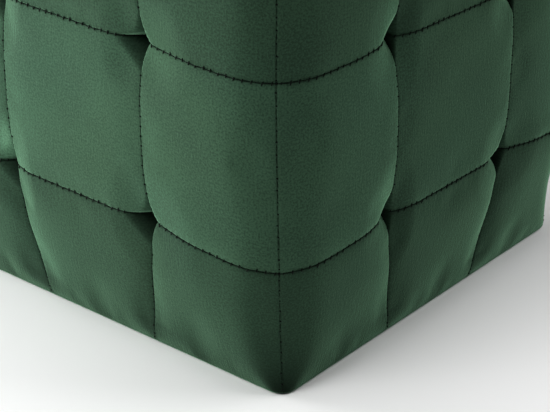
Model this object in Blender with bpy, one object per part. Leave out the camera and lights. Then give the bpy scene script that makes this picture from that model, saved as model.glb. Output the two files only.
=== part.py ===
"""Cube pouf stool: five padded velvet panels, sewn in squares and tufted, on a flat base panel.

Metres, +Z up. The origin is the centre of the underside, on the floor. The front panel faces -Y
and the right panel faces +X.
"""
import math

import bmesh
import bpy

# Outside of the pouf, over the crown of its padding.
WIDTH = 0.400
HEIGHT = 0.400
EDGE_RADIUS = 0.052
PANEL_DEPTH = 0.070

# Near the floor the sides lean in to the square corners of the base.
BASE_INSET = 0.020
LEAN_HEIGHT = 0.120
LEAN_POWER = 1.6
BASE_CORNER_RADIUS = 0.015
SQUARING_HEIGHT = 0.085
SQUARING_POWER = 2.0
BASE_ROLL = 0.005
UNDERSIDE_MARGIN = 0.015
BASE_THICKNESS = 0.040

# Sewn squares: two seams each way on every panel, and a tuft where they cross.
SEAM_FROM_CENTRE = 0.0726
LOWER_SEAM = 0.1134
UPPER_SEAM = 0.2504

# Padding between the seams: how deep a seam and a tuft pull in, and how soon the padding recovers.
SEAM_DEPTH = 0.0030
TUFT_DEPTH = 0.021
TUFT_REACH = 0.015
PILLOW_SHOULDER = 0.0095
GROOVE_BLEND = 3.0
GROOVE_START = 0.004
GROOVE_FULL = 0.022

# Steps across one sewn square, finer at its seams.
SQUARE_STEPS = (0.0, 0.05, 0.12, 0.24, 0.38, 0.5, 0.62, 0.76, 0.88, 0.95)

# Neighbouring pieces stay 0.3 mm apart.
GAP = 0.0003
MITRE_SHIFT = 0.75 * GAP
FLAT_ANGLE = math.radians(0.2)
CREASE_ANGLE = math.radians(50)

HALF_WIDTH = WIDTH / 2
FLAT_HEIGHT = HEIGHT - EDGE_RADIUS
EDGE_ARC = EDGE_RADIUS * math.pi / 4
TOP_OF_SIDE = FLAT_HEIGHT + EDGE_ARC
CORE_HALF = HALF_WIDTH - PANEL_DEPTH
CORE_TOP = HEIGHT - PANEL_DEPTH
UNDERSIDE_HALF = HALF_WIDTH - BASE_INSET - UNDERSIDE_MARGIN

VELVET = ("velvet", (0.030, 0.072, 0.042), 0.85)
BASE_CLOTH = ("base_cloth", (0.012, 0.013, 0.014), 0.95)

# Each side panel and the quarter turns that take the front panel to its place.
SIDE_PANELS = (
    ("front_panel", 0),
    ("right_panel", 1),
    ("back_panel", 2),
    ("left_panel", 3),
)


def clear_scene():
    """Remove whatever the file starts with."""
    for item in list(bpy.data.objects):
        bpy.data.objects.remove(item, do_unlink=True)


def make_material(name, colour, roughness):
    """One plain Principled material."""
    material = bpy.data.materials.new(name)
    material.use_nodes = True
    shader = material.node_tree.nodes["Principled BSDF"]
    shader.inputs["Base Color"].default_value = (*colour, 1.0)
    shader.inputs["Roughness"].default_value = roughness
    shader.inputs["Metallic"].default_value = 0.0
    return material


def smooth_step(value, low, high):
    """0 below low, 1 above high, and an even curve between them."""
    share = min(max((value - low) / (high - low), 0.0), 1.0)
    return share * share * (3 - 2 * share)


def half_width_at(height):
    """Half the pouf's width over its padding, at a height above the floor."""
    lean = max(0.0, 1 - height / LEAN_HEIGHT) ** LEAN_POWER
    return HALF_WIDTH - BASE_INSET * lean


def corner_radius_at(height):
    """Radius of the upright corner in plan: broad in the padding and small at the base."""
    square = max(0.0, 1 - height / SQUARING_HEIGHT) ** SQUARING_POWER
    return EDGE_RADIUS - (EDGE_RADIUS - BASE_CORNER_RADIUS) * square


def groove_depth(across, up, level_seams):
    """How far the padding sinks below its crown, at a place on a panel.

    across and up are measured over the surface. A seam is a groove that deepens towards its
    tufts, and the padding rises from it in a steep rounded shoulder.
    """
    to_upright = abs(abs(across) - SEAM_FROM_CENTRE)
    to_level = min(abs(up - seam) for seam in level_seams)
    grooves = []
    for off_seam, from_tuft in ((to_upright, to_level), (to_level, to_upright)):
        seam_floor = SEAM_DEPTH + TUFT_DEPTH * math.exp(-from_tuft / TUFT_REACH)
        grooves.append(seam_floor * math.exp(-off_seam / PILLOW_SHOULDER))
    return sum(depth ** GROOVE_BLEND for depth in grooves) ** (1 / GROOVE_BLEND)


def round_edges(across, up, flat_across, flat_up, radius):
    """Bend a place on a panel round the panel's edges.

    Returns where it leaves the flat, as (across, up), and the direction from there to the
    surface, as (across, up, out).
    """
    turn_across = math.tan(max(0.0, abs(across) - flat_across) / radius)
    turn_up = math.tan(max(0.0, abs(up) - flat_up) / radius)
    length = math.sqrt(1 + turn_across ** 2 + turn_up ** 2)
    outward = (
        math.copysign(turn_across, across) / length,
        math.copysign(turn_up, up) / length,
        1 / length,
    )
    flat = (
        math.copysign(min(abs(across), flat_across), across),
        math.copysign(min(abs(up), flat_up), up),
    )
    return flat, outward


def spread(share, edge):
    """The place of a share, from -1 to 1, with the seams at one third of the way to an edge."""
    size = abs(share) * 3
    if size <= 1:
        place = size * SEAM_FROM_CENTRE
    else:
        place = SEAM_FROM_CENTRE + (edge - SEAM_FROM_CENTRE) * (size - 1) / 2
    return math.copysign(place, share)


def square_lines(breaks):
    """Grid lines over a row of sewn squares that lie between the given breaks."""
    lines = []
    for start, end in zip(breaks, breaks[1:]):
        lines.extend(start + (end - start) * step for step in SQUARE_STEPS)
    return [*lines, breaks[-1]]


def side_point(share, up):
    """A point on a side panel's padded face, for the front panel.

    share runs from -1 to 1 across the panel, with its seams at one third. up is the distance
    over the surface from the floor.
    """
    height = min(up, FLAT_HEIGHT)
    radius = corner_radius_at(height)
    flat_across = half_width_at(height) - radius
    edge = flat_across + radius * math.pi / 4 - GAP / 2
    across = spread(share, edge)
    flat, outward = round_edges(across, up, flat_across, FLAT_HEIGHT, radius)
    depth = groove_depth(across, up, (LOWER_SEAM, UPPER_SEAM))
    reach = radius - depth * smooth_step(up, GROOVE_START, GROOVE_FULL)
    return (
        flat[0] + reach * outward[0],
        -(flat_across + reach * outward[2]),
        flat[1] + reach * outward[1],
    )


def top_point(share_x, share_y):
    """A point on the top panel's padded face, with both shares from -1 to 1."""
    flat_across = HALF_WIDTH - EDGE_RADIUS
    edge = flat_across + EDGE_ARC - GAP / 2
    across = spread(share_x, edge)
    along = spread(share_y, edge)
    flat, outward = round_edges(across, along, flat_across, flat_across, EDGE_RADIUS)
    reach = EDGE_RADIUS - groove_depth(across, along, (-SEAM_FROM_CENTRE, SEAM_FROM_CENTRE))
    return (
        flat[0] + reach * outward[0],
        flat[1] + reach * outward[1],
        FLAT_HEIGHT + reach * outward[2],
    )


def underside_row(shares, turn):
    """A row of a side panel where it rolls under: turn is 0 upright and 1 flat on the floor."""
    angle = turn * math.pi / 2
    half = half_width_at(BASE_ROLL) - BASE_ROLL * (1 - math.cos(angle))
    height = BASE_ROLL * (1 - math.sin(angle))
    upright = [side_point(share, BASE_ROLL) for share in shares]
    scale = half / half_width_at(BASE_ROLL)
    return [(x * scale, y * scale, height) for x, y, _ in upright]


def side_rows():
    """The rows of points of the front panel's padded face, from its underside up."""
    shares = square_lines((-1.0, -1 / 3, 1 / 3, 1.0))
    margin = UNDERSIDE_HALF + MITRE_SHIFT
    inner = [(share * margin, -margin, 0.0) for share in shares]
    inner[0] = (-margin + MITRE_SHIFT, -margin, 0.0)
    inner[-1] = (margin - MITRE_SHIFT, -margin, 0.0)
    rows = [inner, underside_row(shares, 1.0), underside_row(shares, 0.5)]
    ups = square_lines((BASE_ROLL, LOWER_SEAM, UPPER_SEAM, TOP_OF_SIDE - GAP / 2))
    rows.extend([side_point(share, up) for share in shares] for up in ups)
    return rows


def top_rows():
    """The rows of points of the top panel's padded face."""
    shares = square_lines((-1.0, -1 / 3, 1 / 3, 1.0))
    return [[top_point(share_x, share_y) for share_x in shares] for share_y in shares]


def panel_mesh(name, rows, core_corners):
    """A padded face backed by mitred walls down to a flat rectangle.

    core_corners are the rectangle's corners behind the first point of the first row, the last
    point of that row, and the same two of the last row.
    """
    mesh = bpy.data.meshes.new(name)
    bm = bmesh.new()
    bmesh.ops.create_grid(bm, x_segments=len(rows[0]) - 1, y_segments=len(rows) - 1, size=1.0)
    points = {}
    for vert in bm.verts:
        column = round((vert.co.x + 1) / 2 * (len(rows[0]) - 1))
        row = round((vert.co.y + 1) / 2 * (len(rows) - 1))
        points[vert] = (column, row)
    rim = [edge for edge in bm.edges if edge.is_boundary]
    walls = bmesh.ops.extrude_edge_only(bm, edges=rim)["geom"]
    back = [item for item in walls if isinstance(item, bmesh.types.BMVert)]
    for vert in back:
        across = (vert.co.x + 1) / 2
        along = (vert.co.y + 1) / 2
        vert.co = [
            (1 - along) * ((1 - across) * near_left + across * near_right)
            + along * ((1 - across) * far_left + across * far_right)
            for near_left, near_right, far_left, far_right in zip(*core_corners)
        ]
    for vert, (column, row) in points.items():
        vert.co = rows[row][column]
    back_edges = [edge for edge in bm.edges if edge.is_boundary]
    bmesh.ops.contextual_create(bm, geom=back_edges)
    bmesh.ops.dissolve_limit(bm, angle_limit=FLAT_ANGLE, verts=back, edges=back_edges)
    bmesh.ops.recalc_face_normals(bm, faces=bm.faces)
    bm.to_mesh(mesh)
    bm.free()
    return mesh


def add_panel(name, mesh, material, collection, quarter_turns=0):
    """Place a panel's mesh as its own object."""
    if not mesh.materials:
        mesh.materials.append(material)
        mesh.shade_smooth()
        mesh.set_sharp_from_angle(angle=CREASE_ANGLE)
    panel = bpy.data.objects.new(name, mesh)
    panel.rotation_euler.z = quarter_turns * math.pi / 2
    collection.objects.link(panel)
    return panel


def add_side_panels(material, collection):
    """The four padded sides, which share one shape."""
    half = CORE_HALF - MITRE_SHIFT
    low = BASE_THICKNESS + MITRE_SHIFT
    high = CORE_TOP - MITRE_SHIFT
    corners = [(x, -CORE_HALF, z) for z in (low, high) for x in (-half, half)]
    mesh = panel_mesh("side_panel", side_rows(), corners)
    for name, quarter_turns in SIDE_PANELS:
        add_panel(name, mesh, material, collection, quarter_turns)


def add_top_panel(material, collection):
    """The padded seat."""
    half = CORE_HALF - MITRE_SHIFT
    corners = [(x, y, CORE_TOP) for y in (-half, half) for x in (-half, half)]
    add_panel("top_panel", panel_mesh("top_panel", top_rows(), corners), material, collection)


def add_base_panel(material, collection):
    """The flat panel that stands on the floor, mitred to the sides."""
    bpy.ops.mesh.primitive_cone_add(
        vertices=4,
        radius1=(UNDERSIDE_HALF - MITRE_SHIFT) * math.sqrt(2),
        radius2=(CORE_HALF - MITRE_SHIFT) * math.sqrt(2),
        depth=BASE_THICKNESS,
        location=(0, 0, BASE_THICKNESS / 2),
        rotation=(0, 0, math.pi / 4),
    )
    base = bpy.context.object
    base.name = "base_panel"
    base.data.materials.append(material)
    for owner in list(base.users_collection):
        owner.objects.unlink(base)
    collection.objects.link(base)


def main():
    clear_scene()
    collection = bpy.data.collections.new("cube_pouf_stool")
    bpy.context.scene.collection.children.link(collection)
    velvet = make_material(*VELVET)
    add_side_panels(velvet, collection)
    add_top_panel(velvet, collection)
    add_base_panel(make_material(*BASE_CLOTH), collection)


main()
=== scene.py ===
"""Looks of the cube pouf stool: velvet panels sewn in squares and tufted, the stitches of their
seams, the cloth under the base, and a plain studio with the camera of the photograph.

Metres, +Z up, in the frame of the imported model. The front panel faces -Y.
"""
import math

import bmesh
import bpy
import numpy as np
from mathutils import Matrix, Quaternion, Vector


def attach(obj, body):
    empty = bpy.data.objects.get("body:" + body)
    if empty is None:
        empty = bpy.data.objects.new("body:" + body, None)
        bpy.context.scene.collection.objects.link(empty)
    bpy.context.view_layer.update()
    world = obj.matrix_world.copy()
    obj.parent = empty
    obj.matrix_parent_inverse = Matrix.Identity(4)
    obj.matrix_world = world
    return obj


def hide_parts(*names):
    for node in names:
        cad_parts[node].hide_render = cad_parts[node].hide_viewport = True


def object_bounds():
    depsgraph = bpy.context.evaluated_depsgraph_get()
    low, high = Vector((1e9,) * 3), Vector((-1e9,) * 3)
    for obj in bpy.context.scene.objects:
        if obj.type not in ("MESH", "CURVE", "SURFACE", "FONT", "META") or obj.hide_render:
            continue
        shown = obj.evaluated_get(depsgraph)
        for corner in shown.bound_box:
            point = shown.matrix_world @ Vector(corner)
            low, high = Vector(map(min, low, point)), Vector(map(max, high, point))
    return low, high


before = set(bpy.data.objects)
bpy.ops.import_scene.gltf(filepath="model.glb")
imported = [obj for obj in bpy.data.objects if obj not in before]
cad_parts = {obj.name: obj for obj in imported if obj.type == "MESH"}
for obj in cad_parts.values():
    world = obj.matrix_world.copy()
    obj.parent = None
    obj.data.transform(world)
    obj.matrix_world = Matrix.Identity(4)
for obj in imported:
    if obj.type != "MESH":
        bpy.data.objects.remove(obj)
cad_low, cad_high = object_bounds()

# ---- sizes of the pouf

WIDTH = round(cad_high.x - cad_low.x, 4)
HEIGHT = round(cad_high.z - cad_low.z, 4)
EDGE_RADIUS = 0.052
PANEL_DEPTH = 0.070

# Near the floor the sides lean in to the square corners of the base.
BASE_INSET = 0.0200
LEAN_HEIGHT = 0.120
LEAN_POWER = 1.6
BASE_CORNER_RADIUS = 0.011
SQUARING_HEIGHT = 0.115
SQUARING_POWER = 2.9
BASE_ROLL = 0.0025
BASE_ROLL_STEPS = 4
UNDERSIDE_MARGIN = 0.015
BASE_THICKNESS = 0.040

# The padding is a little twisted: how far it is turned at the floor and in the seat.
FOOT_TWIST = math.radians(1.53)
SEAT_TWIST = math.radians(-0.23)
TWIST_HEIGHT = 0.260
TWIST_POWER = 1.5

# Sewn squares: two seams each way on every panel, and a tuft where they cross. On a side the
# upright seams draw together towards the base, and the level seams drop towards the corners.
SEAM_FROM_CENTRE = 0.0726
SEAM_CONVERGENCE = 2.42
SEAM_BOW = 0.0017
LOWER_SEAM = 0.1134
UPPER_SEAM = 0.2504
LOWER_SEAM_DROP = 0.0104
UPPER_SEAM_DROP = 0.0046

# A tuft draws the padding into a broad dip, with a pit in the middle. The tufts on a panel's
# right are pulled in more than those on its left.
LEFT_TUFT = {
    "dip": 0.0066, "dip steepness": 1.55, "dip reach up": 0.052,
    "pit": 0.0105, "pit steepness": 1.8, "pit reach up": 0.0222,
}
RIGHT_TUFT = {
    "dip": 0.0060, "dip steepness": 1.55, "dip reach up": 0.045,
    "pit": 0.0220, "pit steepness": 1.9, "pit reach up": 0.0235,
}

# How far a tuft reaches across: in the left column of squares, in the middle column beside the
# left tufts and beside the right tufts, and in the right column, which is filled firmly. A pit's
# rim slants straight from seam to seam at a slant of 1, and a smaller slant keeps the corners.
# Where the square above has a lip, the pit is narrower above the level seam by that share.
# Its painted sheen lightens the shoulders of the squares beside the tuft.
TUFT_SIDES = (
    {**LEFT_TUFT, "dip reach": 0.0386, "pit reach": 0.0202, "slant": 1.1, "lip": 0.0, "painted_sheen": 1.5},
    {**LEFT_TUFT, "dip reach": 0.0240, "pit reach": 0.0032, "slant": 0.9, "lip": 0.0, "painted_sheen": 0.0},
    {**RIGHT_TUFT, "dip reach": 0.0384, "pit reach": 0.0267, "slant": 1.0, "lip": 0.6, "painted_sheen": 0.0},
    {**RIGHT_TUFT, "dip reach": 0.0484, "pit reach": 0.0074, "slant": 0.68, "lip": 0.0, "painted_sheen": 0.15},
)

LIP_HEIGHT = 0.008

# The foot of a square in the middle column hangs over the seam beside a right tuft.
TUFT_SAG_SIDE = 2
TUFT_SAG = 0.0015
TUFT_SAG_HEIGHT = 0.007
TUFT_SAG_REACH = 0.022
TUFT_SAG_START = 0.002

# Between the tufts a seam is a fine crease in a shallow valley.
SEAM_ROLL = 0.005
SEAM_PULL = 0.0004
LEVEL_CREASE = 0.0005
UPRIGHT_CREASE = 0.0001
CREASE_ROLL = 0.0013
VALLEY_DEPTH = 0.0004
VALLEY_REACH = 0.008

# Under the lower tufts the padding falls away more broadly to the upright seams.
BOTTOM_VALLEY_DEPTH = 0.0035
BOTTOM_VALLEY_REACH = 0.012
BOTTOM_VALLEY_RISES = (0.0, 0.4 * LOWER_SEAM)
BOTTOM_VALLEY_ENDS = (0.7 * LOWER_SEAM, LOWER_SEAM)

# Round its rim a panel is drawn in to the corner seams, and less so towards the foot.
RIM_DRAW = 0.0035
RIM_DRAW_WIDTH = 0.085
RIM_DRAW_FOOT = 0.090
RIM_CREASE_DEPTH = 0.0008
RIM_CREASE_ROLL = 0.0013

# On a side, the seams and dips come in between these heights above the floor.
GROOVE_START = 0.004
GROOVE_FULL = 0.022

# Painted shade along the seams and in the tufts' pits: how dark it is painted on the seams and
# how far it reaches, how it eases from a pit's bottom to its rim, and between which heights above
# a level seam it ends there.
LEVEL_SEAM_SHADE = 0.35
UPRIGHT_SEAM_SHADE = 0.12
SEAM_SHADE_REACH = 0.0015
PIT_SHADE_POWER = 0.25
PIT_SHADE_ENDS = (0.0005, 0.0030)

# Near the floor the velvet is darkened with painted shade.
FOOT_SHADE = 0.85
FOOT_SHADE_HEIGHT = 0.026
FOOT_SHADE_POWER = 1.5

# Painted light and shade of the squares of a side, by rows from the foot up: the foot row painted
# darker and the middle row lighter; and by columns of the two sides in the photograph. On the other
# panels the pile of each column lies a little differently, at random.
PAINTED_SHADING_BY_ROW = (0.70, 1.08, 0.82)
PAINTED_SHADING_BY_COLUMN = {"front_panel": (1.00, 1.07, 1.08), "right_panel": (1.04, 0.74, 0.69)}
PILE_SPREAD = 0.08

# Beside a tuft a square's shoulder is lightened with a painted sheen: how far from the upright
# seam and above the level seam, and how broadly.
PAINTED_SHEEN_PLACE = 0.007
PAINTED_SHEEN_WIDTH = 0.009
PAINTED_SHEEN_HEIGHT = 0.016
PAINTED_SHEEN_REACH_UP = 0.020

# Hand-made unevenness of the padding, and the puckers that the stitches pull.
UNEVEN_HEIGHT = 0.0003
UNEVEN_LENGTH = 0.090
UNEVEN_WAVES = 7
UNEVEN_SPREAD = (0.7, 1.8)
UNEVEN_MARGIN = 0.020
PUCKER_HEIGHT = 0.00020
PUCKER_REACH = 0.003
PUCKER_PITCH = 0.0065
PUCKER_START = 0.001

# The velvet is cut a little loose and settles over its padding, held at its seams and tufts.
SETTLE_STEP = 0.0048
SETTLE_FRAMES = 24
SETTLE_SLACK = 0.0015
SETTLE_PRESSURE = 0.4
SETTLE_LIMIT = 0.0020
SETTLE_CLOTH = {
    "quality": 5, "mass": 0.3, "tension_stiffness": 15, "compression_stiffness": 15,
    "shear_stiffness": 5, "bending_stiffness": 8, "shrink_min": -SETTLE_SLACK,
    "use_pressure": True, "uniform_pressure_force": SETTLE_PRESSURE,
}
HELD_BESIDE_SEAM = 0.0010
HELD_BESIDE_RIM = 0.0015
HELD_IN_PIT = 0.01

# Spacing of the points over a panel, finer beside a seam.
CLOTH_STEP = 0.0019
SEAM_STEPS = (0.0, 0.0003, 0.0008, 0.0015, 0.0024, 0.0036, 0.0052)

# How softly a flat face goes over into a rounded edge.
EDGE_SOFTNESS = 0.016
EDGE_SOFTNESS_SHARE = 0.6

# Neighbouring pieces stay this far apart.
GAP = 0.0003
MITRE_SHIFT = 0.75 * GAP

# Edges sharper than the first angle stay creases, and faces within the second are one flat face.
CREASE_ANGLE = math.radians(75)
FLAT_ANGLE = math.radians(0.2)

# Keeps a length that divides another from being zero.
TINY = 1e-9

HALF_WIDTH = WIDTH / 2
SEWN_SHARES = np.array([-1 / 3, 1 / 3])
SIDE_LEVEL_SEAMS = (LOWER_SEAM, UPPER_SEAM)
FLAT_HEIGHT = HEIGHT - EDGE_RADIUS
EDGE_ARC = EDGE_RADIUS * math.pi / 4
TOP_OF_SIDE = FLAT_HEIGHT + EDGE_ARC
CORE_HALF = HALF_WIDTH - PANEL_DEPTH
CORE_TOP = HEIGHT - PANEL_DEPTH
UNDERSIDE_HALF = HALF_WIDTH - BASE_INSET - UNDERSIDE_MARGIN

# Each side panel and the quarter turns that take the front panel to its place.
SIDE_PANELS = (("front_panel", 0), ("right_panel", 1), ("back_panel", 2), ("left_panel", 3))

# Seeds of the random draws.
SIDE_SEED = 11
TOP_SEED = 7
COVER_SEED = 3
TOP_STITCH_SEED = 5
CORNER_STITCH_SEED = 9
SEAMS_TO_A_SEED = 10

# Each panel is cut from its own place on the cloth, and the rows that turn under lie just below.
SIDE_CLOTH_SHIFT = 0.7
TOP_CLOTH_SHIFT = 0.9
CLOTH_TURNED_UNDER = (0.03, 0.001)

# The cloth under the base: how far it hangs clear of the floor, and between which distances from
# its rim the slack, the turned hem and the unevenness begin.
COVER_LINES = 121
COVER_SLACK = 0.0012
COVER_SLACK_FROM = (0.012, 0.030)
COVER_HEM = 0.0004
COVER_HEM_FROM = (0.010, 0.012)
COVER_UNEVEN = 0.0004
COVER_UNEVEN_FROM = (0.012, 0.040)

# ---- stitches

# The thread that shows between two needle holes, the short cross thread at each hole, and how
# far they lie above the floor of the seam. A knot ends each seam.
LEVEL_STITCH = {
    "Pitch": 0.0063, "Length": 0.0064, "Thickness": 0.0006,
    "Hole length": 0.0040, "Hole thickness": 0.0013, "Lift": 0.0010, "Knot": 0.0020,
}
UPRIGHT_STITCH = {
    "Pitch": 0.0076, "Length": 0.0050, "Thickness": 0.0004,
    "Hole length": 0.0020, "Hole thickness": 0.0015, "Lift": 0.0003, "Knot": 0.0014,
}
CORNER_STITCH = {
    "Pitch": 0.0087, "Length": 0.0060, "Thickness": 0.0004,
    "Hole length": 0.0020, "Hole thickness": 0.0014, "Lift": 0.0005, "Knot": 0.0014,
}
HOLE_SLANT = math.radians(74)

# No two stitches are quite alike: how far each wanders, how it is turned, and how it is stretched.
STITCH_WANDER = 0.00025
STITCH_TURN = (0.05, 0.04, 0.14)
STITCH_STRETCH = ((0.92, 0.7, 0.8), (1.06, 1.25, 1.15))
BEAD_SIDES = 6
BEAD_RINGS = 5

# The upright seams are stitched from this row of points up, just clear of the floor.
FIRST_SEWN_ROW = 4

# ---- finishes

# Patterns are counted in marks a metre, and a noise pattern mostly lies within this range.
NOISE_RANGE = (0.3, 0.7)

# Velvet: how its marks lighten it between the colour deep in the pile and that of its tips, which
# both drift between two hues.
NAP_MARKS = (650, 90, 1)
GRAIN_MARKS = 650.0
PATCH_MARKS = 22.0
HUE_MARKS = 11.0
PATCH_LAY = (0.25, 0.75)
NAP_LAY = 0.06
GRAIN_LAY = 0.8
DEEP_PILE = ((0.0205, 0.0485, 0.0300), (0.0240, 0.0495, 0.0272))
TIPS_OF_PILE = ((0.0355, 0.0850, 0.0525), (0.0405, 0.0860, 0.0475))
# Near-black colour painted as shade into the tufts' pits and along the seams.
PAINTED_SHADE_COLOUR = (0.002, 0.005, 0.003)
PILE_BUMP = 0.0004
VELVET_ROUGHNESS = (0.80, 0.95)
VELVET_FINISH = {
    "Sheen Weight": 0.85, "Sheen Roughness": 0.35, "Sheen Tint": (0.44, 0.90, 0.55, 1.0),
    "Specular IOR Level": 0.05,
}

STRAND_MARKS = 2600.0
THREAD_COLOURS = ((0.0015, 0.004, 0.0025), (0.004, 0.010, 0.006))
THREAD_BUMP = 0.0002
THREAD_FINISH = {"Roughness": 0.8, "Specular IOR Level": 0.1}

FIBRE_MARKS = 700.0
DIMPLE_MARKS = 600.0
BASE_CLOTH_COLOURS = ((0.006, 0.006, 0.007), (0.022, 0.023, 0.025))
BASE_CLOTH_ROUGHNESS = (0.78, 0.98)
BASE_CLOTH_BUMP = 0.0004

FLOOR_MARKS = 1.5
FLOOR_COLOURS = ((0.85, 0.85, 0.85), (0.88, 0.88, 0.88))
FLOOR_FINISH = {"Roughness": 0.9, "Specular IOR Level": 0.1}

# ---- camera and studio

CAMERA_AZIMUTH = math.radians(40.61)
CAMERA_ELEVATION = math.radians(26.56)
CAMERA_ROLL = math.radians(0.571)
CAMERA_DISTANCE = 1.2055
CAMERA_TARGET = Vector((0.1822, -0.1837, 0.157))
FOCAL_PIXELS = 1780.4
PHOTO_WIDTH = 550
SENSOR_WIDTH = 36.0
FLOOR_SIZE = 3.6
FLOOR_GAP = 0.0002

# How bright the background looks, and how much it lights the pouf.
BACKDROP_SEEN = 0.68
BACKDROP_GLOW = 0.01

# Soft lights, the strongest from the left: name, place, height aimed at, side and power in watts.
SOFTBOXES = (
    ("front_softbox", (-0.246, -1.393, 1.614), HEIGHT / 2, 1.0, 19.0),
    ("left_softbox", (-1.872, -0.681, 0.374), HEIGHT / 2, 1.0, 51.5),
    ("overhead_softbox", (0.0, -0.035, 2.2), HEIGHT / 2, 1.0, 18.5),
    ("right_softbox", (1.083, 0.909, 1.614), HEIGHT / 2, 1.0, 15.5),
    ("back_softbox", (0.598, 1.282, 1.614), HEIGHT / 2, 1.0, 4.0),
    ("low_left_softbox", (-0.707, -0.707, 0.1), 0.15, 0.5, 6.2),
)


# ==== shape of the padding

def smooth_step(value, low, high):
    """0 below low, 1 above high, and an even curve between them."""
    share = np.clip((value - low) / (high - low), 0.0, 1.0)
    return share * share * (3 - 2 * share)


def half_width_at(height):
    """Half the pouf's width over its padding, at a height above the floor."""
    lean = np.maximum(0.0, 1 - height / LEAN_HEIGHT) ** LEAN_POWER
    return HALF_WIDTH - BASE_INSET * lean


def corner_radius_at(height):
    """Radius of the upright corner in plan: broad in the padding and small at the base."""
    square = np.maximum(0.0, 1 - height / SQUARING_HEIGHT) ** SQUARING_POWER
    return EDGE_RADIUS - (EDGE_RADIUS - BASE_CORNER_RADIUS) * square


def pillow(share):
    """How deep a rounded shoulder has sunk: 1 at the seam, and 0 from a share of 1 outwards."""
    inward = np.clip(1 - share, 0.0, 1.0)
    return 1 - np.sqrt(1 - inward ** 2)


def uneven(across, up, chance):
    """A soft unevenness between -1 and 1, from a few slow waves in random directions."""
    height = np.zeros_like(across)
    for _ in range(UNEVEN_WAVES):
        heading = chance.uniform(0, math.tau)
        rate = math.tau / (UNEVEN_LENGTH * chance.uniform(*UNEVEN_SPREAD))
        phase = chance.uniform(0, math.tau)
        height += np.sin((across * math.cos(heading) + up * math.sin(heading)) * rate + phase)
    return height / math.sqrt(UNEVEN_WAVES)


class Places:
    """Places all over a panel, with how far each is from the panel's seams and rims."""

    def __init__(self, share, across, up, seam, level_seams, edge, edge_up, rim_draw):
        self.across = across
        self.up = up
        self.tuft_side = np.searchsorted((-1 / 3, 0, 1 / 3), share)
        self.column = np.searchsorted((-1 / 3, 1 / 3), share)
        self.to_upright = np.abs(np.abs(across) - seam)
        self.level_seams = level_seams
        self.above_level = min_by_size([up - level for level in level_seams])
        self.to_level = np.abs(self.above_level)
        self.to_seam = np.minimum(self.to_upright, self.to_level)
        self.to_rims = (edge - np.abs(across), edge_up - np.abs(up))
        self.rim_draw = rim_draw

    def of_tuft(self, name):
        """A size of the tuft that each place is nearest to, on that side of it."""
        return np.array([side[name] for side in TUFT_SIDES])[self.tuft_side]


def min_by_size(values):
    """Of several signed distances, the one nearest to zero at each place."""
    values = np.array(values)
    smallest = np.abs(values).argmin(axis=0)
    return np.take_along_axis(values, smallest[None], axis=0)[0]


def tuft_dip(places):
    """How far the padding is drawn in round a tuft."""
    across = places.to_upright / places.of_tuft("dip reach")
    off = np.hypot(across, places.to_level / places.of_tuft("dip reach up"))
    return places.of_tuft("dip") * np.maximum(0.0, 1 - off) ** places.of_tuft("dip steepness")


def tuft_pit(places):
    """1 at the bottom of a tuft's pit and 0 outside it."""
    slant = places.of_tuft("slant")
    lip = places.of_tuft("lip") * smooth_step(places.above_level, 0.0, LIP_HEIGHT)
    off = (places.to_upright / (places.of_tuft("pit reach") * (1 - lip))) ** slant
    off += (places.to_level / places.of_tuft("pit reach up")) ** slant
    return np.maximum(0.0, 1 - off ** (1 / slant)) ** places.of_tuft("pit steepness")


def padding_depth(places, chance):
    """How far the velvet lies below the crown of its padding."""
    depth = tuft_dip(places) + places.of_tuft("pit") * tuft_pit(places)
    depth += SEAM_PULL * pillow(places.to_seam / SEAM_ROLL)
    depth += LEVEL_CREASE * pillow(places.to_level / CREASE_ROLL)
    depth += UPRIGHT_CREASE * pillow(places.to_upright / CREASE_ROLL)
    depth += VALLEY_DEPTH * np.exp(-places.to_seam / VALLEY_REACH)
    draws = [RIM_DRAW * (1 - smooth_step(rim, 0.0, RIM_DRAW_WIDTH)) for rim in places.to_rims]
    depth += np.hypot(*draws) * places.rim_draw
    to_rim = np.minimum(*places.to_rims)
    depth += RIM_CREASE_DEPTH * pillow(to_rim / RIM_CREASE_ROLL)
    open_cloth = smooth_step(np.minimum(places.to_seam, to_rim), 0.0, UNEVEN_MARGIN)
    depth += UNEVEN_HEIGHT * uneven(places.across, places.up, chance) * open_cloth
    along = np.where(places.to_upright < places.to_level, places.up, places.across)
    puckers = np.cos(along * math.tau / PUCKER_PITCH) * np.exp(-places.to_seam / PUCKER_REACH)
    return depth + PUCKER_HEIGHT * puckers * smooth_step(places.to_seam, 0.0, PUCKER_START)


def bottom_valley(places):
    """How far a side falls away to its upright seams between the lower tufts and the base."""
    below = smooth_step(places.up, *BOTTOM_VALLEY_RISES)
    below *= 1 - smooth_step(places.up, *BOTTOM_VALLEY_ENDS)
    return BOTTOM_VALLEY_DEPTH * below * np.exp(-places.to_upright / BOTTOM_VALLEY_REACH)


def tuft_sag(places):
    """How far the foot of a middle square hangs over the seam below it, beside a tuft."""
    above = np.maximum(places.above_level, 0.0) / TUFT_SAG_HEIGHT
    sag = TUFT_SAG * above * np.exp(1 - above) * np.exp(-places.to_upright / TUFT_SAG_REACH)
    sag *= smooth_step(places.to_upright, 0.0, TUFT_SAG_START)
    return np.where(places.tuft_side == TUFT_SAG_SIDE, sag, 0.0)


def seam_drop(share, up):
    """How far the grid of a side drops in its outer columns, where the level seams slope."""
    outward = np.maximum(0.0, (np.abs(share) * 3 - 1) / 2)
    heights = (0.0, *SIDE_LEVEL_SEAMS, TOP_OF_SIDE)
    return outward * np.interp(up, heights, (0.0, LOWER_SEAM_DROP, UPPER_SEAM_DROP, 0.0))


def soft_bend(past, radius):
    """How much of the way past a flat face has gone into its rounded edge, with a soft start."""
    soft = np.minimum(EDGE_SOFTNESS, EDGE_SOFTNESS_SHARE * radius * math.pi / 4)
    return np.where(np.abs(past) < soft, (past + soft) ** 2 / (4 * soft), np.maximum(0.0, past))


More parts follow.
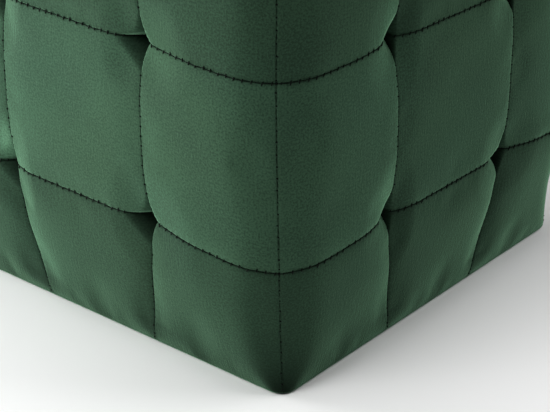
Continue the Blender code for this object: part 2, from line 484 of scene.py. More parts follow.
def round_edges(across, up, flat_across, flat_up, radius):
    """Bend a place on a panel round the panel's edges.

    Returns where it leaves the flat, across and up, and the direction from there to the surface.
    """
    bent_across = soft_bend(np.abs(across) - flat_across, radius)
    bent_up = soft_bend(np.abs(up) - flat_up, radius)
    turn_across = np.tan(bent_across / radius)
    turn_up = np.tan(bent_up / radius)
    length = np.sqrt(1 + turn_across ** 2 + turn_up ** 2)
    outward = (np.sign(across) * turn_across / length, np.sign(up) * turn_up / length, 1 / length)
    flat_x = np.sign(across) * (np.abs(across) - bent_across)
    flat_y = np.sign(up) * (np.abs(up) - bent_up)
    return flat_x, flat_y, outward


def spread(share, edge, seam):
    """The place of a share, from -1 to 1, with the seams at one third of the way to an edge."""
    size = np.abs(share) * 3
    outer = seam + (edge - seam) * (size - 1) / 2
    return np.sign(share) * np.where(size <= 1, size * seam, outer)


def seam_place_at(level, height):
    """How far a side's upright seams are from its middle, on a level at a height above the floor.

    They bow in a little between one row of tufts and the next.
    """
    narrowing = 1 - half_width_at(height) / HALF_WIDTH
    bow = np.zeros_like(level)
    rows = (0.0, *SIDE_LEVEL_SEAMS, TOP_OF_SIDE)
    for low, high in zip(rows, rows[1:]):
        share = np.clip((level - low) / (high - low), 0.0, 1.0)
        bow += SEAM_BOW * 4 * share * (1 - share)
    return SEAM_FROM_CENTRE * (1 - SEAM_CONVERGENCE * narrowing) - bow


def cloth_lines(breaks):
    """Places of the grid lines over a panel, closer together beside each seam at the breaks."""
    lines = []
    for start, end in zip(breaks, breaks[1:]):
        fine = SEAM_STEPS[-1]
        count = max(1, round((end - start - 2 * fine) / CLOTH_STEP))
        lines.extend(start + step for step in SEAM_STEPS)
        lines.extend(start + fine + (end - start - 2 * fine) * n / count for n in range(1, count))
        lines.extend(end - step for step in reversed(SEAM_STEPS[1:]))
    return np.array([*lines, breaks[-1]])


def nearest(lines, wanted):
    """The numbers of the grid lines nearest to the wanted places."""
    return [int(np.argmin(np.abs(lines - place))) for place in wanted]


def share_lines():
    """Grid lines across a panel as shares from -1 to 1."""
    edge = HALF_WIDTH - EDGE_RADIUS + EDGE_ARC - GAP / 2
    lines = cloth_lines((-edge, -SEAM_FROM_CENTRE, SEAM_FROM_CENTRE, edge))
    outer = 1 + 2 * (np.abs(lines) - SEAM_FROM_CENTRE) / (edge - SEAM_FROM_CENTRE)
    inner = np.abs(lines) / SEAM_FROM_CENTRE
    return np.sign(lines) * np.where(inner <= 1, inner, outer) / 3


def side_face(shares, ups, chance):
    """Points of the front panel's velvet, the directions that they face, and their places."""
    share, level = np.meshgrid(shares, ups)
    up = level - seam_drop(share, level)
    height = np.minimum(up, FLAT_HEIGHT)
    radius = corner_radius_at(height)
    flat_across = half_width_at(height) - radius
    edge = flat_across + radius * math.pi / 4 - GAP / 2
    seam = seam_place_at(level, height)
    across = spread(share, edge, seam)
    rim_draw = smooth_step(level, 0.0, RIM_DRAW_FOOT)
    top = TOP_OF_SIDE - GAP / 2
    places = Places(share, across, level, seam, SIDE_LEVEL_SEAMS, edge, top, rim_draw)
    flat_x, flat_z, outward = round_edges(across, up, flat_across, FLAT_HEIGHT, radius)
    depth = padding_depth(places, chance) + bottom_valley(places)
    reach = radius - depth * smooth_step(up, GROOVE_START, GROOVE_FULL)
    points = np.stack([
        flat_x + reach * outward[0],
        -(flat_across + reach * outward[2]),
        flat_z + reach * outward[1] - tuft_sag(places),
    ], axis=-1)
    facing = np.stack([outward[0], -outward[2], outward[1]], axis=-1)
    return points, facing, places


def top_face(shares, chance):
    """Points of the top panel's velvet, the directions that they face, and their places."""
    share_x, share_y = np.meshgrid(shares, shares)
    flat_across = HALF_WIDTH - EDGE_RADIUS
    edge = flat_across + EDGE_ARC - GAP / 2
    across = spread(share_x, edge, SEAM_FROM_CENTRE)
    along = spread(share_y, edge, SEAM_FROM_CENTRE)
    seams = (-SEAM_FROM_CENTRE, SEAM_FROM_CENTRE)
    places = Places(share_x, across, along, SEAM_FROM_CENTRE, seams, edge, edge, 1.0)
    flat_x, flat_y, outward = round_edges(across, along, flat_across, flat_across, EDGE_RADIUS)
    reach = EDGE_RADIUS - padding_depth(places, chance)
    points = np.stack([
        flat_x + reach * outward[0],
        flat_y + reach * outward[1],
        FLAT_HEIGHT + reach * outward[2],
    ], axis=-1)
    return points, np.stack(outward, axis=-1), places


def underside_rows(shares, first_row):
    """Rows of the front panel's velvet where it turns under, from its inner margin outwards."""
    margin = UNDERSIDE_HALF + MITRE_SHIFT
    rows = [np.stack([shares * margin, np.full_like(shares, -margin), np.zeros_like(shares)], 1)]
    for step in range(BASE_ROLL_STEPS, 0, -1):
        angle = step / BASE_ROLL_STEPS * math.pi / 2
        half = half_width_at(BASE_ROLL) - BASE_ROLL * (1 - math.cos(angle))
        row = first_row * half / half_width_at(BASE_ROLL)
        row[:, 2] = BASE_ROLL * (1 - math.sin(angle))
        rows.append(row)
    return np.array(rows)


def turned(points, cos, sin):
    """Points turned about the upright middle line of the pouf."""
    x = points[..., 0] * cos - points[..., 1] * sin
    y = points[..., 0] * sin + points[..., 1] * cos
    return np.stack([x, y, points[..., 2]], axis=-1)


def twist(points):
    """Turn the foot of the padding a little against the seat, as the photograph shows it."""
    foot = np.maximum(0.0, 1 - points[..., 2] / TWIST_HEIGHT) ** TWIST_POWER
    turn = SEAT_TWIST + (FOOT_TWIST - SEAT_TWIST) * foot
    return turned(points, np.cos(turn), np.sin(turn))


def quarter_turned(points, turns):
    """Points of the front panel taken round the pouf by quarter turns."""
    return turned(points, (1, 0, -1, 0)[turns], (0, 1, 0, -1)[turns])


# ==== meshes

def grid_faces(rows, columns):
    """Quads of a grid of points that are numbered row by row."""
    corner = np.arange(rows - 1)[:, None] * columns + np.arange(columns - 1)
    corner = corner.ravel()
    return np.stack([corner, corner + 1, corner + columns + 1, corner + columns], axis=1)


def grid_rim(rows, columns):
    """Numbers of the points round a grid's rim, in the order that its faces run."""
    first = list(range(columns - 1))
    right = [row * columns + columns - 1 for row in range(rows - 1)]
    last = [(rows - 1) * columns + column for column in range(columns - 1, 0, -1)]
    left = [row * columns for row in range(rows - 1, 0, -1)]
    return first + right + last + left


def on_rectangle(corners, across, along):
    """A place between four corners, by its shares of the way across and along."""
    near_left, near_right, far_left, far_right = (np.array(corner) for corner in corners)
    near = near_left * (1 - across) + near_right * across
    far = far_left * (1 - across) + far_right * across
    return near * (1 - along) + far * along


def padded_solid(name, points, core_corners, cloth_places, pile):
    """A closed panel: its velvet face, mitred walls behind its rim, and a flat back."""
    rows, columns = points.shape[:2]
    rim = grid_rim(rows, columns)
    back = [
        on_rectangle(core_corners, number % columns / (columns - 1), number // columns / (rows - 1))
        for number in rim
    ]
    first_back = rows * columns
    verts = np.concatenate([points.reshape(-1, 3), twist(np.array(back))])
    faces = grid_faces(rows, columns).tolist()
    for n, number in enumerate(rim):
        after = (n + 1) % len(rim)
        faces.append((rim[after], number, first_back + n, first_back + after))
    faces.append([first_back + n for n in reversed(range(len(rim)))])
    mesh = bpy.data.meshes.new(name)
    mesh.from_pydata(verts.tolist(), [], faces)
    mark_cloth(mesh, cloth_places.reshape(-1, 2), pile, rim)
    simplify_back(mesh, first_back)
    mesh.shade_smooth()
    mesh.set_sharp_from_angle(angle=CREASE_ANGLE)
    return link_object(name, mesh)


def mark_cloth(mesh, places, pile, rim):
    """Give a panel its cloth places and its painted tone and shade. Its back takes them from its rim.
    """
    places = np.concatenate([places, places[rim]])
    corner_points = np.zeros(len(mesh.loops), dtype=np.int32)
    mesh.loops.foreach_get("vertex_index", corner_points)
    cloth_map = mesh.uv_layers.new(name="cloth")
    cloth_map.data.foreach_set("uv", places[corner_points].astype(np.float32).ravel())
    for label, values in pile.items():
        carried = mesh.attributes.new(label, "FLOAT", "POINT")
        carried.data.foreach_set("value", np.concatenate([values.ravel(), values.ravel()[rim]]))


def simplify_back(mesh, first_back):
    """Take the needless points off a panel's flat back."""
    bm = bmesh.new()
    bm.from_mesh(mesh)
    bm.verts.ensure_lookup_table()
    back = bm.verts[first_back:]
    edges = [edge for edge in bm.edges if all(v.index >= first_back for v in edge.verts)]
    bmesh.ops.dissolve_limit(bm, angle_limit=FLAT_ANGLE, verts=back, edges=edges)
    bm.to_mesh(mesh)
    bm.free()


def link_object(name, data):
    """A new object in the scene."""
    item = bpy.data.objects.new(name, data)
    bpy.context.scene.collection.objects.link(item)
    return item


def painted_seam_and_pit_shade(places):
    """Painted shade: 1 in a tuft's pit, less on a seam and 0 on the open squares."""
    on_seam = LEVEL_SEAM_SHADE * np.exp(-places.to_level / SEAM_SHADE_REACH)
    on_seam = np.maximum(on_seam, UPRIGHT_SEAM_SHADE * np.exp(-places.to_upright / SEAM_SHADE_REACH))
    under_seam = 1 - smooth_step(places.above_level, *PIT_SHADE_ENDS)
    return np.maximum(on_seam, tuft_pit(places) ** PIT_SHADE_POWER * under_seam)


def square_tone_and_painted_shade(name, chance):
    """Painted shading of a panel's squares by rows and columns; unlisted columns get a random tone."""
    rows = (1.0, 1.0, 1.0) if name == "top_panel" else PAINTED_SHADING_BY_ROW
    chosen = chance.uniform(1 - PILE_SPREAD, 1 + PILE_SPREAD, 3)
    return np.outer(rows, PAINTED_SHADING_BY_COLUMN.get(name, chosen))


def tone_with_painted_shading(places, lies, heights):
    """Painted tone: by its square, with painted sheen beside tufts and painted shade at the foot."""
    row = np.searchsorted(places.level_seams, places.up)
    beside = np.exp(-((places.to_upright - PAINTED_SHEEN_PLACE) / PAINTED_SHEEN_WIDTH) ** 2)
    above = np.exp(-((places.above_level - PAINTED_SHEEN_HEIGHT) / PAINTED_SHEEN_REACH_UP) ** 2)
    painted_sheen = places.of_tuft("painted_sheen") * beside * above
    foot = FOOT_SHADE * np.exp(-(heights / FOOT_SHADE_HEIGHT) ** FOOT_SHADE_POWER)
    return lies[row, places.column] * (1 + painted_sheen) * (1 - foot)


# ==== settling of the velvet

def settle_lines(lines, sewn):
    """The numbers of the lines to simulate: the sewn ones and the rim, and others between."""
    fixed = [0, *nearest(lines, sewn), len(lines) - 1]
    chosen = []
    for start, end in zip(fixed, fixed[1:]):
        steps = max(1, round((lines[end] - lines[start]) / SETTLE_STEP))
        chosen += nearest(lines, np.linspace(lines[start], lines[end], steps + 1)[:-1])
    return np.unique([*chosen, fixed[-1]])


def spline_weights(knots, places):
    """Weights that take values at the knots to a smooth curve's values at the places."""
    gaps = np.diff(knots)
    count = len(knots)
    bend = np.eye(count)
    rise = np.zeros((count, count))
    for n in range(1, count - 1):
        bend[n, n - 1:n + 2] = gaps[n - 1], 2 * (gaps[n - 1] + gaps[n]), gaps[n]
        rise[n, n - 1:n + 2] = 6 / gaps[n - 1], -6 / gaps[n - 1] - 6 / gaps[n], 6 / gaps[n]
    bends = np.linalg.solve(bend, rise)
    span = np.clip(np.searchsorted(knots, places) - 1, 0, count - 2)
    gap = gaps[span][:, None]
    after = (places - knots[span])[:, None] / gap
    before = 1 - after
    own = np.eye(count)
    curve = (before ** 3 - before) * bends[span] + (after ** 3 - after) * bends[span + 1]
    return before * own[span] + after * own[span + 1] + curve * gap ** 2 / 6


def held_places(places):
    """Where the velvet is held: at its seams, in the tufts' pits and round its rim."""
    held = places.to_seam < HELD_BESIDE_SEAM
    held |= np.minimum(*places.to_rims) < HELD_BESIDE_RIM
    return held | (tuft_pit(places) > HELD_IN_PIT) | (places.up < GROOVE_START)


def settle(points, places, lines_across, lines_up, sewn_across, sewn_up):
    """Let a panel's velvet settle by cloth simulation, and move its points with it."""
    columns = settle_lines(lines_across, sewn_across)
    rows = settle_lines(lines_up, sewn_up)
    start = points[np.ix_(rows, columns)]
    moved = simulate_velvet(start, held_places(places)[np.ix_(rows, columns)]) - start
    size = np.linalg.norm(moved, axis=-1, keepdims=True) + TINY
    moved *= SETTLE_LIMIT * np.tanh(size / SETTLE_LIMIT) / size
    along_up = spline_weights(lines_up[rows], lines_up)
    along_across = spline_weights(lines_across[columns], lines_across)
    moves = np.einsum("ir,rcv,jc->ijv", along_up, moved, along_across)
    return points + moves * smooth_step(places.to_seam, 0.0, 2 * HELD_BESIDE_SEAM)[..., None]


def simulate_velvet(start, held):
    """Where a sheet of velvet comes to rest: pushed out by its padding, slack, held in places."""
    mesh = bpy.data.meshes.new("settling_velvet")
    mesh.from_pydata(start.reshape(-1, 3).tolist(), [], grid_faces(*held.shape).tolist())
    sheet = link_object("settling_velvet", mesh)
    sewn = sheet.vertex_groups.new(name="sewn")
    sewn.add(np.flatnonzero(held).tolist(), 1.0, "REPLACE")
    cloth = sheet.modifiers.new("settle", "CLOTH")
    for name, value in SETTLE_CLOTH.items():
        setattr(cloth.settings, name, value)
    cloth.settings.vertex_group_mass = sewn.name
    cloth.settings.effector_weights.gravity = 0
    cloth.collision_settings.use_collision = False
    cloth.point_cache.frame_start = 1
    cloth.point_cache.frame_end = SETTLE_FRAMES
    for moment in range(1, SETTLE_FRAMES + 1):
        bpy.context.scene.frame_set(moment)
    settled = sheet.evaluated_get(bpy.context.evaluated_depsgraph_get()).data
    rest = np.zeros(len(mesh.vertices) * 3)
    settled.vertices.foreach_get("co", rest)
    bpy.data.objects.remove(sheet, do_unlink=True)
    bpy.data.meshes.remove(mesh)
    bpy.context.scene.frame_set(1)
    return rest.reshape(start.shape)


# ==== nodes

class NodeTree:
    """A tree of nodes in the making."""

    def __init__(self, group):
        self.group = group

    def add(self, kind, inputs=(), **settings):
        """Add a node with its settings, feed its inputs, and return its outputs."""
        node = self.group.nodes.new(kind)
        for name, value in settings.items():
            setattr(node, name, value)
        for name, value in dict(inputs).items():
            self.feed(node.inputs[name], value)
        return node.outputs

    def feed(self, socket, value):
        """Join an input to another node's output, or set it to a plain value."""
        if isinstance(value, bpy.types.NodeSocket):
            self.group.links.new(value, socket)
        else:
            socket.default_value = value

    def gather(self, *parts):
        """Several geometries as one."""
        together = self.group.nodes.new("GeometryNodeJoinGeometry")
        for part in parts:
            self.group.links.new(part, together.inputs["Geometry"])
        return together.outputs["Geometry"]


# ==== stitches

def name_inputs(group):
    """Give a stitch tree its named inputs and its output. Returns each input's identifier."""
    kinds = {"Geometry": "NodeSocketGeometry", "Seed": "NodeSocketInt"}
    identifiers = {}
    for label in ("Geometry", *LEVEL_STITCH, "Hole slant", "Seed"):
        kind = kinds.get(label, "NodeSocketFloat")
        socket = group.interface.new_socket(label, in_out="INPUT", socket_type=kind)
        identifiers[label] = socket.identifier
    group.interface.new_socket("Geometry", in_out="OUTPUT", socket_type=kinds["Geometry"])
    return identifiers


def stitch_tree(thread):
    """Geometry nodes that sew one stitch after another along each seam path."""
    group = bpy.data.node_groups.new("stitches_along_seams", "GeometryNodeTree")
    identifiers = name_inputs(group)
    tree = NodeTree(group)
    sizes = tree.add("NodeGroupInput")
    path = lift_path(tree, sizes)
    sewn = tree.add("GeometryNodeInstanceOnPoints", {
        "Points": path,
        "Instance": one_stitch(tree, sizes),
        "Rotation": slight_turn(tree, sizes, lie_along_seam(tree)),
        "Scale": random_vector(tree, sizes, *STITCH_STRETCH),
    })
    tied = tree.add("GeometryNodeInstanceOnPoints", {
        "Points": path,
        "Selection": tree.add("GeometryNodeCurveEndpointSelection")["Selection"],
        "Instance": thread_bead(tree, sizes["Knot"], sizes["Knot"]),
    })
    together = tree.gather(sewn["Instances"], tied["Instances"])
    real = tree.add("GeometryNodeRealizeInstances", {"Geometry": together})
    smooth = tree.add("GeometryNodeSetShadeSmooth", {"Geometry": real["Geometry"]})
    finish = tree.add("GeometryNodeSetMaterial", {"Geometry": smooth["Geometry"], "Material": thread})
    tree.add("NodeGroupOutput", {"Geometry": finish["Geometry"]})
    return group, identifiers


def outward_attribute(tree):
    """The direction that the velvet faces, which each seam path carries."""
    kind = "GeometryNodeInputNamedAttribute"
    return tree.add(kind, {"Name": "outward"}, data_type="FLOAT_VECTOR")["Attribute"]


def random_vector(tree, sizes, low, high):
    """A random vector for each stitch, from the tree's seed."""
    ends = {"Min": low, "Max": high, "Seed": sizes["Seed"]}
    return tree.add("FunctionNodeRandomValue", ends, data_type="FLOAT_VECTOR")["Value"]


def lift_path(tree, sizes):
    """Needle holes along the seam, a stitch apart, lifted out of the crease."""
    path = tree.add("GeometryNodeMeshToCurve", {"Mesh": sizes["Geometry"]})
    spacing = {"Curve": path["Curve"], "Length": sizes["Pitch"]}
    holes = tree.add("GeometryNodeResampleCurve", spacing, mode="LENGTH")
    lift = {0: outward_attribute(tree), "Scale": sizes["Lift"]}
    rise = tree.add("ShaderNodeVectorMath", lift, operation="SCALE")
    wander = random_vector(tree, sizes, (-STITCH_WANDER,) * 3, (STITCH_WANDER,) * 3)
    offset = tree.add("ShaderNodeVectorMath", {0: rise["Vector"], 1: wander}, operation="ADD")
    move = {"Geometry": holes["Curve"], "Offset": offset["Vector"]}
    return tree.add("GeometryNodeSetPosition", move)["Geometry"]


def thread_bead(tree, length, thickness):
    """A long bead of thread along X."""
    shape = {"Segments": BEAD_SIDES, "Rings": BEAD_RINGS, "Radius": 0.5}
    ball = tree.add("GeometryNodeMeshUVSphere", shape)
    size = tree.add("ShaderNodeCombineXYZ", {"X": length, "Y": thickness, "Z": thickness})
    stretch = {"Geometry": ball["Mesh"], "Scale": size["Vector"]}
    return tree.add("GeometryNodeTransform", stretch)["Geometry"]


def one_stitch(tree, sizes):
    """The thread of one stitch, with the slanted thread that goes down its needle hole."""
    dash = thread_bead(tree, sizes["Length"], sizes["Thickness"])
    hole = thread_bead(tree, sizes["Hole length"], sizes["Hole thickness"])
    half = tree.add("ShaderNodeMath", {0: sizes["Pitch"], 1: 0.5}, operation="MULTIPLY")
    shift = tree.add("ShaderNodeCombineXYZ", {"X": half["Value"]})
    slant = tree.add("ShaderNodeCombineXYZ", {"Z": sizes["Hole slant"]})
    place = {"Geometry": hole, "Translation": shift["Vector"], "Rotation": slant["Vector"]}
    return tree.gather(dash, tree.add("GeometryNodeTransform", place)["Geometry"])


def lie_along_seam(tree):
    """The turn that lays a stitch along its seam, facing the way the velvet does."""
    align = "FunctionNodeAlignRotationToVector"
    tangent = tree.add("GeometryNodeInputTangent")
    along = tree.add(align, {"Vector": tangent["Tangent"]}, axis="X")
    facing = {"Rotation": along["Rotation"], "Vector": outward_attribute(tree)}
    return tree.add(align, facing, axis="Z", pivot_axis="X")["Rotation"]


def slight_turn(tree, sizes, lie):
    """No two stitches lie quite alike."""
    wander = random_vector(tree, sizes, [-angle for angle in STITCH_TURN], STITCH_TURN)
    as_rotation = tree.add("FunctionNodeEulerToRotation", {"Euler": wander})
    turn = {"Rotation": lie, "Rotate By": as_rotation["Rotation"]}
    return tree.add("FunctionNodeRotateRotation", turn, rotation_space="LOCAL")["Rotation"]


def sew_stitches(name, paths, sewing, seed):
    """Stitches along seam paths: rows of points, the directions they face, and their stitch."""
    thread, tree, identifiers = sewing
    sewn = [
        sew_seam(name, points, facing, stitch, tree, identifiers, seed * SEAMS_TO_A_SEED + number)
        for number, (points, facing, stitch) in enumerate(paths)
    ]
    bm = bmesh.new()
    for mesh in sewn:
        bm.from_mesh(mesh)
    for face in bm.faces:
        face.material_index = 0
    joined = bpy.data.meshes.new(name)
    bm.to_mesh(joined)
    bm.free()
    joined.materials.append(thread)
    for mesh in sewn:
        bpy.data.meshes.remove(mesh)
    stitches = link_object(name, joined)
    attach(stitches, "root")


def sew_seam(name, points, facing, stitch, tree, identifiers, seed):
    """The mesh of the stitches along one seam."""
    mesh = bpy.data.meshes.new(name + "_path")
    mesh.from_pydata(points.tolist(), [(n, n + 1) for n in range(len(points) - 1)], [])
    outward = mesh.attributes.new("outward", "FLOAT_VECTOR", "POINT")
    outward.data.foreach_set("vector", facing.astype(np.float32).ravel())
    carrier = link_object(name + "_path", mesh)
    sewing = carrier.modifiers.new("stitches", "NODES")
    sewing.node_group = tree
    for label, size in {**stitch, "Hole slant": HOLE_SLANT, "Seed": seed}.items():
        sewing[identifiers[label]] = size
    view = bpy.context.evaluated_depsgraph_get()
    stitches = bpy.data.meshes.new_from_object(carrier.evaluated_get(view))
    bpy.data.objects.remove(carrier, do_unlink=True)
    return stitches


# ==== materials

def new_material(name):
    """A new material, its tree of nodes, and the inputs of its Principled shader."""
    material = bpy.data.materials.new(name)
    material.use_nodes = True
    shader = material.node_tree.nodes["Principled BSDF"]
    return material, NodeTree(material.node_tree), shader.inputs


def noise(tree, source, scale, detail=2.0, roughness=0.5, stretch=(1, 1, 1)):
    """A noise pattern whose scale is in marks a metre."""
    marks = {"Vector": source, "Scale": [scale * part for part in stretch]}
    mapped = tree.add("ShaderNodeMapping", marks)["Vector"]
    kind = {"Vector": mapped, "Scale": 1.0, "Detail": detail, "Roughness": roughness}
    return tree.add("ShaderNodeTexNoise", kind)["Fac"]


def blend_range(tree, value, low, high, to_low, to_high):
    """Take a value from one range to another."""
    ends = {"From Min": low, "From Max": high, "To Min": to_low, "To Max": to_high}
    return tree.add("ShaderNodeMapRange", {**ends, "Value": value})["Result"]


def from_noise(tree, value, to_low, to_high):
    """Take a noise pattern from the range where it mostly lies to another."""
    return blend_range(tree, value, *NOISE_RANGE, to_low, to_high)


def total(tree, first, second):
    """Two values added together."""
    return tree.add("ShaderNodeMath", {0: first, 1: second}, operation="ADD")["Value"]


def fine_bumps(tree, height, rise, strength=1.0):
    """The shading of a pattern's bumps, which rise by so many metres."""
    bumps = {"Height": height, "Distance": rise, "Strength": strength}
    return tree.add("ShaderNodeBump", bumps)["Normal"]


def mix_colours(tree, share, first, second):
    """Mix two colours, each a tuple or another node's colour."""
    mix = tree.group.nodes.new("ShaderNodeMix")
    mix.data_type = "RGBA"
    colours = [socket for socket in mix.inputs if socket.type == "RGBA"]
    for socket, value in zip(colours, (first, second)):
        tree.feed(socket, (*value, 1.0) if isinstance(value, tuple) else value)
    tree.feed(mix.inputs[0], share)
    return next(socket for socket in mix.outputs if socket.type == "RGBA")


def attribute(tree, name):
    """A value that the points of a mesh carry."""
    return tree.add("ShaderNodeAttribute", attribute_name=name)["Fac"]


def set_finish(shader, finish):
    """Set what is the same all over a surface."""
    for name, value in finish.items():
        shader[name].default_value = value


def velvet_material():
    """Green velvet: short pile with streaks of nap, brushed patches and a sheen."""
    material, tree, shader = new_material("velvet")
    on_cloth = tree.add("ShaderNodeUVMap", uv_map="cloth")["UV"]
    in_space = tree.add("ShaderNodeTexCoord")["Object"]
    streaks = noise(tree, on_cloth, 1.0, detail=3.0, stretch=NAP_MARKS)
    grain = noise(tree, on_cloth, GRAIN_MARKS, roughness=0.65)
    patches = noise(tree, in_space, PATCH_MARKS, detail=3.0, roughness=0.55)
    hue_drift = noise(tree, in_space, HUE_MARKS, detail=1.0)
    lay = from_noise(tree, patches, *PATCH_LAY)
    lay = total(tree, lay, from_noise(tree, streaks, -NAP_LAY, NAP_LAY))
    lay = total(tree, lay, from_noise(tree, grain, -GRAIN_LAY, GRAIN_LAY))
    deep = mix_colours(tree, hue_drift, *DEEP_PILE)
    tips = mix_colours(tree, hue_drift, *TIPS_OF_PILE)
    # The colour is scaled by its tone with painted light and shade.
    lit = {0: mix_colours(tree, lay, deep, tips), "Scale": attribute(tree, "tone_with_painted_shading")}
    toned = tree.add("ShaderNodeVectorMath", lit, operation="SCALE")["Vector"]
    # Seams and the tufts' pits are darkened towards near-black with painted shade.
    colour = mix_colours(tree, attribute(tree, "painted_seam_and_pit_shade"), toned, PAINTED_SHADE_COLOUR)
    tree.feed(shader["Base Color"], colour)
    tree.feed(shader["Roughness"], from_noise(tree, patches, *VELVET_ROUGHNESS))
    tree.feed(shader["Normal"], fine_bumps(tree, total(tree, grain, streaks), PILE_BUMP, strength=0.5))
    set_finish(shader, VELVET_FINISH)
    return material


def thread_material():
    """Dark green sewing thread with a fine twist."""
    material, tree, shader = new_material("thread")
    in_space = tree.add("ShaderNodeTexCoord")["Object"]
    strands = noise(tree, in_space, STRAND_MARKS, detail=1.0)
    tree.feed(shader["Base Color"], mix_colours(tree, strands, *THREAD_COLOURS))
    tree.feed(shader["Normal"], fine_bumps(tree, strands, THREAD_BUMP))
    set_finish(shader, THREAD_FINISH)
    return material


def base_cloth_material():
    """Black non-woven cloth under the base: pressed fibres and a scatter of tiny dimples."""
    material, tree, shader = new_material("base_cloth")
    in_space = tree.add("ShaderNodeTexCoord")["Object"]
    fibres = noise(tree, in_space, FIBRE_MARKS, detail=4.0, roughness=0.7)
    spots = tree.add("ShaderNodeTexVoronoi", {"Vector": in_space, "Scale": DIMPLE_MARKS})
    tree.feed(shader["Base Color"], mix_colours(tree, fibres, *BASE_CLOTH_COLOURS))
    tree.feed(shader["Roughness"], from_noise(tree, fibres, *BASE_CLOTH_ROUGHNESS))
    relief = total(tree, spots["Distance"], fibres)
    tree.feed(shader["Normal"], fine_bumps(tree, relief, BASE_CLOTH_BUMP, strength=0.6))
    return material


def floor_material():
    """Plain near-white studio floor."""
    material, tree, shader = new_material("studio_floor")
    cloud = noise(tree, tree.add("ShaderNodeTexCoord")["Object"], FLOOR_MARKS)
    tree.feed(shader["Base Color"], mix_colours(tree, cloud, *FLOOR_COLOURS))
    set_finish(shader, FLOOR_FINISH)
    return material


# ==== pieces

def make_panel(name, points, core_corners, cloth_places, pile, velvet):
    """A velvet panel in place of the CAD's own."""
    panel = padded_solid(name + "_velvet", points, core_corners, cloth_places, pile)
    panel.data.materials.append(velvet)
    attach(panel, "root")
    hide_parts(name)


def side_core(turns):
    """The corners of a side's flat back."""
    half = CORE_HALF - MITRE_SHIFT
    levels = (BASE_THICKNESS + MITRE_SHIFT, CORE_TOP - MITRE_SHIFT)
    corners = [(x, -CORE_HALF, z) for z in levels for x in (-half, half)]
    return quarter_turned(np.array(corners), turns)


def side_pile(places, lies, heights, rows_under):
    """A side's painted shade and its tone with painted light, with the rows that turn under it."""
    pressed = painted_seam_and_pit_shade(places)
    tone = tone_with_painted_shading(places, lies, heights)
    return {
        "painted_seam_and_pit_shade": np.concatenate([np.zeros_like(pressed[:rows_under]), pressed]),
        "tone_with_painted_shading": np.concatenate([np.repeat(tone[:1], rows_under, axis=0), tone]),
    }


def side_cloth(places, turns, rows_under):
    """Where a side's points lie on its cloth, with the rows that turn under it."""
    on_cloth = np.stack([places.across, places.up], axis=-1)
    below = np.repeat(on_cloth[:1], rows_under, axis=0)
    below[..., 1] -= np.linspace(*CLOTH_TURNED_UNDER, rows_under)[:, None]
    return np.concatenate([below, on_cloth]) + (turns * SIDE_CLOTH_SHIFT, 0.0)


def make_side(name, turns, velvet, sewing):
    """One padded side with its stitches. Returns the seams of its corner and its top edge."""
    chance = np.random.default_rng(turns + SIDE_SEED)
    shares = share_lines()
    ups = cloth_lines((BASE_ROLL, *SIDE_LEVEL_SEAMS, TOP_OF_SIDE - GAP / 2))
    points, facing, places = side_face(shares, ups, chance)
    sewn = SEWN_SHARES * HALF_WIDTH
    points = settle(points, places, shares * HALF_WIDTH, ups, sewn, SIDE_LEVEL_SEAMS)
    under = underside_rows(shares, points[0].copy())
    pile = side_pile(places, square_tone_and_painted_shade(name, chance), points[..., 2], len(under))
    on_cloth = side_cloth(places, turns, len(under))
    whole = twist(quarter_turned(np.concatenate([under, points]), turns))
    make_panel(name, whole, side_core(turns), on_cloth, pile, velvet)
    surface = whole[len(under):]
    return sew_side(name, turns, (surface, quarter_turned(facing, turns)), (shares, ups), sewing)


def sew_side(name, turns, surface, lines, sewing):
    """Stitches on a side's own seams. Returns the seams of its corner and its top edge."""
    points, facing = surface
    shares, ups = lines
    rows = nearest(ups, SIDE_LEVEL_SEAMS)
    paths = [(points[row], facing[row], LEVEL_STITCH) for row in rows]
    clear = slice(FIRST_SEWN_ROW, None)
    columns = nearest(shares, SEWN_SHARES)
    paths += [(points[clear, column], facing[clear, column], UPRIGHT_STITCH) for column in columns]
    sew_stitches(name + "_stitches", paths, sewing, seed=turns)
    corner = (points[clear, -1], facing[clear, -1], CORNER_STITCH)
    return [corner, (points[-1], facing[-1], CORNER_STITCH)]


def make_top(velvet, sewing):
    """The padded seat with its stitches."""
    shares = share_lines()
    chance = np.random.default_rng(TOP_SEED)
    points, facing, places = top_face(shares, chance)
    across = shares * HALF_WIDTH
    sewn = SEWN_SHARES * HALF_WIDTH
    points = twist(settle(points, places, across, across, sewn, sewn))
    half = CORE_HALF - MITRE_SHIFT
    corners = [(x, y, CORE_TOP) for y in (-half, half) for x in (-half, half)]
    on_cloth = np.stack([places.across, places.up + TOP_CLOTH_SHIFT], axis=-1)
    tone = tone_with_painted_shading(places, square_tone_and_painted_shade("top_panel", chance), points[..., 2])
    pile = {"painted_seam_and_pit_shade": painted_seam_and_pit_shade(places), "tone_with_painted_shading": tone}
    make_panel("top_panel", points, corners, on_cloth, pile, velvet)
    seams = nearest(shares, SEWN_SHARES)
    paths = [(points[:, seam], facing[:, seam], LEVEL_STITCH) for seam in seams]
    paths += [(points[seam], facing[seam], LEVEL_STITCH) for seam in seams]
    sew_stitches("top_panel_stitches", paths, sewing, seed=TOP_STITCH_SEED)


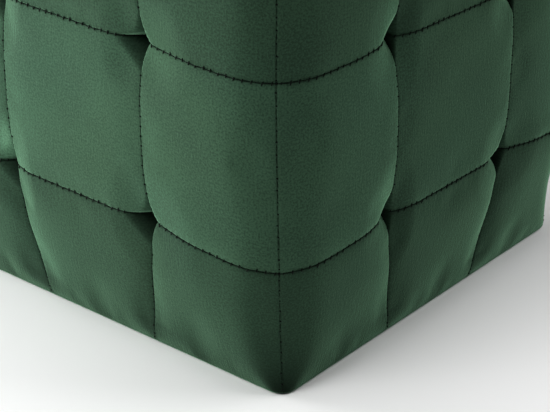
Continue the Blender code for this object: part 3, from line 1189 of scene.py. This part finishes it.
def make_base_cover(cloth):
    """The cloth under the base, slightly slack inside a turned hem."""
    shares = np.linspace(-1, 1, COVER_LINES)
    half = UNDERSIDE_HALF - MITRE_SHIFT
    x, y = np.meshgrid(shares * half, shares[::-1] * half)
    inside = half - np.maximum(np.abs(x), np.abs(y))
    slack = smooth_step(inside, *COVER_SLACK_FROM) * COVER_SLACK
    slack += COVER_HEM * smooth_step(inside, *COVER_HEM_FROM)
    waves = COVER_UNEVEN * uneven(x, y, np.random.default_rng(COVER_SEED))
    slack += waves * smooth_step(inside, *COVER_UNEVEN_FROM)
    points = np.stack([x, y, np.maximum(slack, 0.0)], axis=-1)
    core = CORE_HALF - MITRE_SHIFT
    corners = [(cx, cy, BASE_THICKNESS) for cy in (core, -core) for cx in (-core, core)]
    places = np.stack([x, y], axis=-1)
    cover = padded_solid("base_cover", twist(points), corners, places, {})
    cover.data.materials.append(cloth)
    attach(cover, "root")
    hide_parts("base_panel")


# ==== studio

def add_floor():
    """A plain pale floor just under the pouf."""
    bpy.ops.mesh.primitive_plane_add(size=FLOOR_SIZE, location=(0, 0, -FLOOR_GAP))
    floor = bpy.context.object
    floor.name = "studio_floor"
    floor.data.materials.append(floor_material())


def add_softbox(name, place, aim_height, side, power):
    """A large soft light aimed at the pouf's middle, and hidden from the camera."""
    light = bpy.data.lights.new(name, "AREA")
    light.shape = "RECTANGLE"
    light.size = side
    light.size_y = side
    light.energy = power
    lamp = link_object(name, light)
    lamp.visible_camera = False
    lamp.location = place
    aim = Vector((0, 0, aim_height)) - Vector(place)
    lamp.rotation_euler = aim.to_track_quat("-Z", "Y").to_euler()


def add_backdrop():
    """A pale background, which lights the pouf only faintly."""
    world = bpy.data.worlds.new("studio")
    world.use_nodes = True
    tree = NodeTree(world.node_tree)
    background = world.node_tree.nodes["Background"].inputs
    seen = tree.add("ShaderNodeLightPath")["Is Camera Ray"]
    tree.feed(background["Color"], (1, 1, 1, 1))
    tree.feed(background["Strength"], blend_range(tree, seen, 0, 1, BACKDROP_GLOW, BACKDROP_SEEN))
    bpy.context.scene.world = world
    bpy.context.scene.view_settings.view_transform = "Standard"


def add_camera():
    """The camera at the photograph's viewing angle."""
    away = Vector((
        math.sin(CAMERA_AZIMUTH) * math.cos(CAMERA_ELEVATION),
        -math.cos(CAMERA_AZIMUTH) * math.cos(CAMERA_ELEVATION),
        math.sin(CAMERA_ELEVATION),
    ))
    lens = bpy.data.cameras.new("photo_camera")
    lens.sensor_width = SENSOR_WIDTH
    lens.lens = FOCAL_PIXELS / PHOTO_WIDTH * SENSOR_WIDTH
    camera = link_object("photo_camera", lens)
    camera.location = CAMERA_TARGET + away * CAMERA_DISTANCE
    level = (-away).to_track_quat("-Z", "Y")
    camera.rotation_mode = "QUATERNION"
    camera.rotation_quaternion = level @ Quaternion((0, 0, 1), CAMERA_ROLL)
    bpy.context.scene.camera = camera


def main():
    """Make the pouf's pieces and the studio round it."""
    velvet = velvet_material()
    thread = thread_material()
    sewing = (thread, *stitch_tree(thread))
    rim_paths = []
    for name, turns in SIDE_PANELS:
        rim_paths += make_side(name, turns, velvet, sewing)
    make_top(velvet, sewing)
    sew_stitches("corner_stitches", rim_paths, sewing, seed=CORNER_STITCH_SEED)
    make_base_cover(base_cloth_material())
    add_floor()
    for softbox in SOFTBOXES:
        add_softbox(*softbox)
    add_backdrop()
    add_camera()


main()
